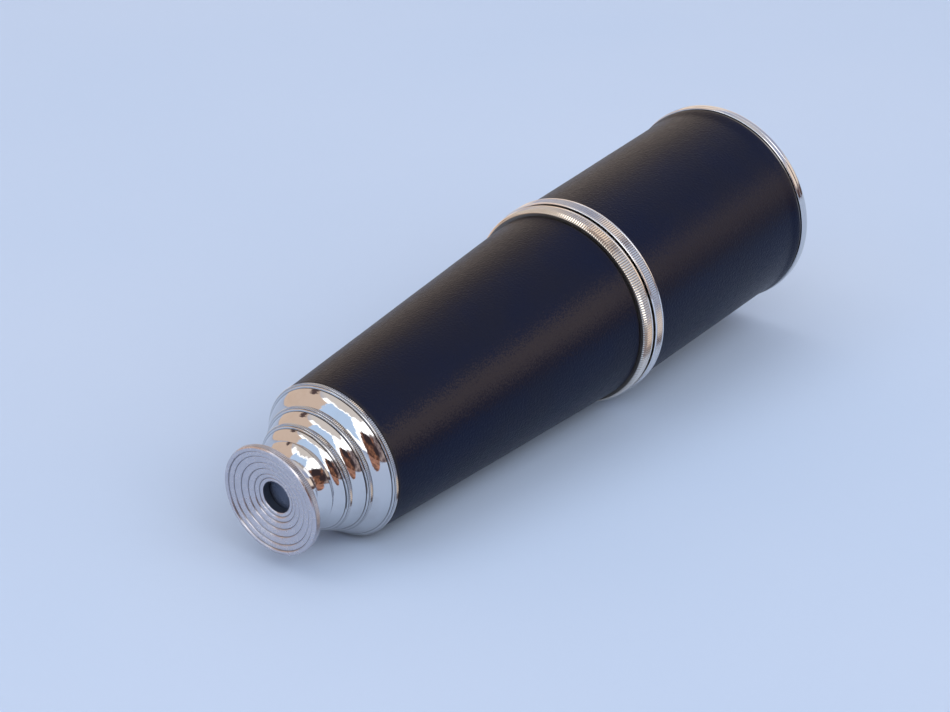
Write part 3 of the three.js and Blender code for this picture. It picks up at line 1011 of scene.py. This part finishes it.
def glowing_brown_sheet():
    """A rounded brown sheet just over the floor that glows by itself, a painted reflection. Only the polished
    plate sees it, as its reflection, and it casts no light or shadow.
    """
    azimuths = np.linspace(*GLOW_SPAN, GLOW_COLUMNS)
    shares = np.linspace(-0.995, 0.995, GLOW_COLUMNS)
    near_edge = GLOW_SEEN_FROM / np.tan(GLOW_DROP * np.sqrt(1 - shares**2))
    points = []
    for row in range(GLOW_ROWS):
        for near, azimuth in zip(near_edge, azimuths):
            reach = near * (GLOW_FAR_EDGE / near) ** (row / (GLOW_ROWS - 1))
            x = GLOW_MIDDLE.x + reach * math.cos(azimuth)
            y = GLOW_MIDDLE.y + reach * math.sin(azimuth)
            points.append((x, y, GLOW_HEIGHT))
    look = material_look("brown reflection glow")
    where = look.add("TexCoord").outputs["Object"]
    patches = look.span(look.noise(where, 14.0, 4.0, 0.6), 0.40, 0.60)
    colour = look.mix(patches, (0.16, 0.07, 0.05, 1), (0.60, 0.27, 0.17, 1))
    mesh = bpy.data.meshes.new("brown reflection glow")
    mesh.from_pydata(points, [], grid_faces(GLOW_ROWS, GLOW_COLUMNS))
    glow = look.finish(
        Base_Color=(0, 0, 0, 1), Roughness=1.0, Emission_Color=colour, Emission_Strength=1.0
    )
    mesh.materials.append(glow)
    glow_sheet = bpy.data.objects.new("brown reflection glow", mesh)
    glow_sheet.visible_camera = False
    glow_sheet.visible_diffuse = False
    glow_sheet.visible_transmission = False
    glow_sheet.visible_shadow = False
    link(glow_sheet)


glowing_brown_sheet()

# ---------------------------------------------------------------- studio


def studio():
    """A soft dome of light: a pale ceiling, a tan wall, and a bright window with brown things under it."""
    world = bpy.data.worlds.new("studio")
    bpy.context.scene.world = world
    look = Look(world)
    way = look.add("TexCoord").outputs["Generated"]
    ragged = {"Vector": way, "Scale": 6.0, "Detail": 4.0, "Roughness": 0.6}
    wobble = look.add("TexNoise", ragged).outputs["Color"]
    shift = look.add("VectorMath", {0: wobble, 1: (0.5, 0.5, 0.5)}, operation="SUBTRACT").outputs[0]
    shift = look.add("VectorMath", {0: shift, "Scale": 0.30}, operation="SCALE").outputs[0]
    shifted = look.add("VectorMath", {0: way, 1: shift}, operation="ADD").outputs[0]
    torn = look.add("VectorMath", {0: shifted}, operation="NORMALIZE").outputs[0]

    def pane(azimuth, elevation, half_width, half_height, soft, vector=torn, lean=0.0):
        """1 inside a pane, in degrees. It leans by so many degrees of height per degree of width."""
        turn = {"Vector": vector, "Angle": -math.radians(azimuth)}
        turned_to = look.add("VectorRotate", turn, rotation_type="Z_AXIS").outputs[0]
        local = look.add("SeparateXYZ", {0: turned_to})
        beside = look.math("DEGREES", look.math("ARCTAN2", local.outputs["Y"], local.outputs["X"]))
        above = look.math("DEGREES", look.math("ARCSINE", local.outputs["Z"]))
        raised = look.math("SUBTRACT", above, look.math("MULTIPLY", beside, lean))
        off = look.math("ABSOLUTE", look.math("SUBTRACT", raised, elevation))
        wide = look.math("ABSOLUTE", beside)
        across = look.span(wide, half_width, half_width + soft, 1.0, 0.0, smooth=True)
        tall = look.span(off, half_height, half_height + soft, 1.0, 0.0, smooth=True)
        return look.math("MULTIPLY", across, tall)

    high = look.add("SeparateXYZ", {0: way}).outputs["Z"]
    speckle = look.span(look.noise(way, 9.0, 5.0, 0.7), 0.42, 0.62)
    ceiling = (0.86, 0.79, 0.74, 1)
    far_sky = (0.42, 0.48, 0.68, 1)
    far_wall = (1.10, 0.93, 0.80, 1)
    tan_wall = (0.84, 0.65, 0.53, 1)
    shelf = (0.12, 0.08, 0.08, 1)
    sky = (0.66, 0.86, 1.16, 1)
    window = (2.4, 2.4, 2.4, 1)
    mauve = look.mix(speckle, (0.12, 0.085, 0.10, 1), (0.50, 0.40, 0.38, 1))
    brown = look.mix(speckle, (0.10, 0.05, 0.04, 1), (0.46, 0.21, 0.13, 1))
    dark = (0.05, 0.035, 0.04, 1)
    colour = look.mix(look.span(high, 0.62, 0.88, smooth=True), far_sky, ceiling)
    colour = look.mix(pane(38, 14, 26, 14, 14, way), colour, far_wall)
    colour = look.mix(pane(-40, 17, 26, 6, 9, way), colour, far_wall)
    colour = look.mix(pane(-42, 1, 34, 4, 6, way), colour, shelf)
    colour = look.mix(pane(-164, 28, 68, 25, 3), colour, window)
    colour = look.mix(pane(-86, 50, 26, 14, 4), colour, window)
    colour = look.mix(pane(102, 18, 44, 30, 3, way, -0.08), colour, tan_wall)
    colour = look.mix(pane(94, 43, 12, 3, 3), colour, shelf)
    colour = look.mix(pane(172, 31, 25, 20, 2), colour, sky)
    colour = look.mix(pane(-98, 16, 24, 18, 4), colour, mauve)
    colour = look.mix(pane(-137, 6, 17, 24, 2), colour, brown)
    colour = look.mix(pane(-135, 26, 10, 6, 4), colour, dark)
    colour = look.mix(pane(-121, 12, 5, 6, 4), colour, dark)
    look.feed(look.tree.nodes["Background"].inputs["Color"], colour)


def lamp(name, position, size, power):
    """A round soft lamp that shines on the middle of the scene."""
    data = bpy.data.lights.new(name, "AREA")
    data.shape = "DISK"
    data.size = size
    data.energy = power
    light = bpy.data.objects.new(name, data)
    light.location = position
    light.rotation_euler = (-Vector(position)).to_track_quat("-Z", "Y").to_euler()
    light.visible_glossy = False
    link(light)


studio()
lamp("overhead", (-0.2, 0.5, 1.6), 1.4, 4.4)
lamp("front fill", (-0.3, -1.5, 0.9), 1.4, 10.0)

bpy.context.scene.view_settings.view_transform = "Standard"
